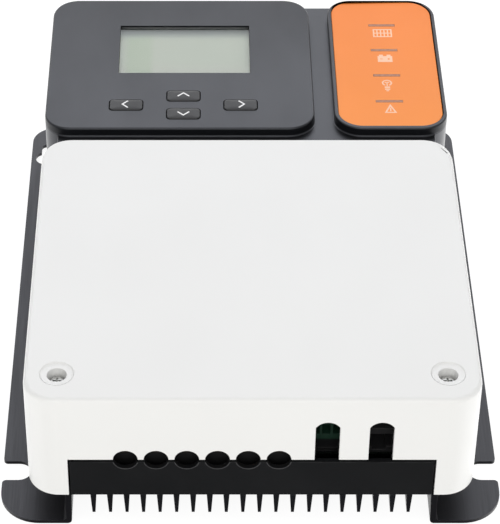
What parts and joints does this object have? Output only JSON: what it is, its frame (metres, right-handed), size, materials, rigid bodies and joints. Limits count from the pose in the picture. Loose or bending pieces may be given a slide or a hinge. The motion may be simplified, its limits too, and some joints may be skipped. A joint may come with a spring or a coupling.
{
  "type": "solar charge controller",
  "caption": "Wall-mounted solar charge controller: finned heat sink with flanges, removable terminal cover, display with keys and an indicator panel.",
  "frame": {"origin": "centre of the footprint on the wall plane, which is the underside of the mounting flanges", "axes": "+Z away from the wall through the display, +Y towards the display end, -Y towards the cable end, +X to the viewer's right"},
  "size_m": [0.236, 0.32, 0.0792],
  "materials": {
    "black_anodised": "matt black anodised extrusion",
    "black_plastic": "fine-textured black ABS",
    "grey_plastic": "fine-textured dark grey ABS",
    "white_plastic": "fine-textured white ABS",
    "orange_plastic": "satin orange polycarbonate",
    "button_plastic": "dark grey ABS key with a printed arrow",
    "clear_lens": "clear acrylic window",
    "lcd_glass": "grey-green liquid crystal panel",
    "white_diffuser": "white diffusing plastic",
    "board_green": "solder-masked glass-epoxy board",
    "screw_steel": "zinc-plated steel",
    "brass": "plain brass",
    "copper": "tinned and bare copper",
    "nylon": "natural nylon",
    "terminal_black": "glass-filled black nylon",
    "terminal_green": "green polyamide",
    "ferrite": "coated powder-iron ring",
    "capacitor_sleeve": "dark blue sleeved aluminium can",
    "epoxy_black": "moulded black epoxy",
    "thermal_pad": "grey silicone pad",
    "spring_steel": "bare spring steel",
    "fuse_plastic": "amber plastic blade fuse",
    "ribbon_grey": "grey PVC ribbon",
    "led_epoxy": "LED package"
  },
  "bodies": {
    "chassis": {"heat_sink": "black_anodised", "front_cable_panel": "black_plastic", "panel_screws": "screw_steel", "head_housing": "black_plastic", "housing_screws": "screw_steel", "display_bezel": "grey_plastic", "display_lens": "clear_lens", "lcd_glass": "lcd_glass", "lcd_backlight": "white_diffuser", "display_board": "board_green", "display_board_screws": "screw_steel", "tact_switches": "epoxy_black", "indicator_frame": "grey_plastic", "indicator_panel": "orange_plastic", "light_pipes": "white_diffuser", "status_leds": "led_epoxy", "indicator_board": "board_green", "cover_posts": "screw_steel", "main_board": "board_green", "board_spacers": "brass", "board_screws": "screw_steel", "terminal_housing": "terminal_black", "terminal_bodies": "brass", "bus_bars": "copper", "current_shunt": "copper", "remote_terminal": "terminal_green", "comm_socket": "terminal_black", "coil_cores": "ferrite", "coil_windings": "copper", "bulk_capacitors": "capacitor_sleeve", "power_transistors": "epoxy_black", "insulating_pads": "thermal_pad", "transistor_clamps": "spring_steel", "clamp_screws": "screw_steel", "blade_fuses": "fuse_plastic", "microcontroller": "epoxy_black", "ribbon_cable": "ribbon_grey"},
    "button_left": {"button_left": "button_plastic"},
    "button_right": {"button_right": "button_plastic"},
    "button_up": {"button_up": "button_plastic"},
    "button_down": {"button_down": "button_plastic"},
    "terminal_cover": {"terminal_cover": "white_plastic"},
    "cover_washer_left": {"cover_washer_left": "nylon"},
    "cover_washer_right": {"cover_washer_right": "nylon"},
    "cover_screw_left": {"cover_screw_left": "screw_steel"},
    "cover_screw_right": {"cover_screw_right": "screw_steel"},
    "wire_pad_1": {"wire_pad_1": "brass"},
    "terminal_screw_1": {"terminal_screw_1": "screw_steel"},
    "wire_pad_2": {"wire_pad_2": "brass"},
    "terminal_screw_2": {"terminal_screw_2": "screw_steel"},
    "wire_pad_3": {"wire_pad_3": "brass"},
    "terminal_screw_3": {"terminal_screw_3": "screw_steel"},
    "wire_pad_4": {"wire_pad_4": "brass"},
    "terminal_screw_4": {"terminal_screw_4": "screw_steel"},
    "wire_pad_5": {"wire_pad_5": "brass"},
    "terminal_screw_5": {"terminal_screw_5": "screw_steel"},
    "wire_pad_6": {"wire_pad_6": "brass"},
    "terminal_screw_6": {"terminal_screw_6": "screw_steel"}
  },
  "joints": [
    {"name": "press_left", "type": "slide", "parent": "chassis", "child": "button_left", "axis": [0, 0, -1], "range_m": [0, 0.0008], "stiffness_N_per_m": 900},
    {"name": "press_right", "type": "slide", "parent": "chassis", "child": "button_right", "axis": [0, 0, -1], "range_m": [0, 0.0008], "stiffness_N_per_m": 900},
    {"name": "press_up", "type": "slide", "parent": "chassis", "child": "button_up", "axis": [0, 0, -1], "range_m": [0, 0.0008], "stiffness_N_per_m": 900},
    {"name": "press_down", "type": "slide", "parent": "chassis", "child": "button_down", "axis": [0, 0, -1], "range_m": [0, 0.0008], "stiffness_N_per_m": 900},
    {"name": "cover_lift", "type": "slide", "parent": "chassis", "child": "terminal_cover", "axis": [0, 0, 1], "range_m": [0, 0.065]},
    {"name": "cover_screw_rise_left", "type": "slide", "parent": "terminal_cover", "child": "cover_washer_left", "axis": [0, 0, 1], "range_m": [0, 0.0035]},
    {"name": "cover_screw_turn_left", "type": "hinge", "parent": "cover_washer_left", "child": "cover_screw_left", "pos_m": [-0.0886, -0.1422, 0.0713], "axis": [0, 0, 1], "range_deg": [0, 1800]},
    {"name": "cover_screw_rise_right", "type": "slide", "parent": "terminal_cover", "child": "cover_washer_right", "axis": [0, 0, 1], "range_m": [0, 0.0035]},
    {"name": "cover_screw_turn_right", "type": "hinge", "parent": "cover_washer_right", "child": "cover_screw_right", "pos_m": [0.0886, -0.1422, 0.0713], "axis": [0, 0, 1], "range_deg": [0, 1800]},
    {"name": "wire_pad_slide_1", "type": "slide", "parent": "chassis", "child": "wire_pad_1", "axis": [0, 0, -1], "range_m": [0, 0.0028]},
    {"name": "terminal_screw_turn_1", "type": "hinge", "parent": "wire_pad_1", "child": "terminal_screw_1", "pos_m": [-0.0579, -0.14, 0.0516], "axis": [0, 0, -1], "range_deg": [0, 1260]},
    {"name": "wire_pad_slide_2", "type": "slide", "parent": "chassis", "child": "wire_pad_2", "axis": [0, 0, -1], "range_m": [0, 0.0028]},
    {"name": "terminal_screw_turn_2", "type": "hinge", "parent": "wire_pad_2", "child": "terminal_screw_2", "pos_m": [-0.04386, -0.14, 0.0516], "axis": [0, 0, -1], "range_deg": [0, 1260]},
    {"name": "wire_pad_slide_3", "type": "slide", "parent": "chassis", "child": "wire_pad_3", "axis": [0, 0, -1], "range_m": [0, 0.0028]},
    {"name": "terminal_screw_turn_3", "type": "hinge", "parent": "wire_pad_3", "child": "terminal_screw_3", "pos_m": [-0.02982, -0.14, 0.0516], "axis": [0, 0, -1], "range_deg": [0, 1260]},
    {"name": "wire_pad_slide_4", "type": "slide", "parent": "chassis", "child": "wire_pad_4", "axis": [0, 0, -1], "range_m": [0, 0.0028]},
    {"name": "terminal_screw_turn_4", "type": "hinge", "parent": "wire_pad_4", "child": "terminal_screw_4", "pos_m": [-0.01578, -0.14, 0.0516], "axis": [0, 0, -1], "range_deg": [0, 1260]},
    {"name": "wire_pad_slide_5", "type": "slide", "parent": "chassis", "child": "wire_pad_5", "axis": [0, 0, -1], "range_m": [0, 0.0028]},
    {"name": "terminal_screw_turn_5", "type": "hinge", "parent": "wire_pad_5", "child": "terminal_screw_5", "pos_m": [-0.00174, -0.14, 0.0516], "axis": [0, 0, -1], "range_deg": [0, 1260]},
    {"name": "wire_pad_slide_6", "type": "slide", "parent": "chassis", "child": "wire_pad_6", "axis": [0, 0, -1], "range_m": [0, 0.0028]},
    {"name": "terminal_screw_turn_6", "type": "hinge", "parent": "wire_pad_6", "child": "terminal_screw_6", "pos_m": [0.0123, -0.14, 0.0516], "axis": [0, 0, -1], "range_deg": [0, 1260]}
  ],
  "couplings": [
    {"joint": "cover_screw_turn_left", "follows": "cover_screw_rise_left", "rad_per_m": 8976},
    {"joint": "cover_screw_turn_right", "follows": "cover_screw_rise_right", "rad_per_m": 8976},
    {"joint": "terminal_screw_turn_1", "follows": "wire_pad_slide_1", "rad_per_m": 7854},
    {"joint": "terminal_screw_turn_2", "follows": "wire_pad_slide_2", "rad_per_m": 7854},
    {"joint": "terminal_screw_turn_3", "follows": "wire_pad_slide_3", "rad_per_m": 7854},
    {"joint": "terminal_screw_turn_4", "follows": "wire_pad_slide_4", "rad_per_m": 7854},
    {"joint": "terminal_screw_turn_5", "follows": "wire_pad_slide_5", "rad_per_m": 7854},
    {"joint": "terminal_screw_turn_6", "follows": "wire_pad_slide_6", "rad_per_m": 7854}
  ]
}
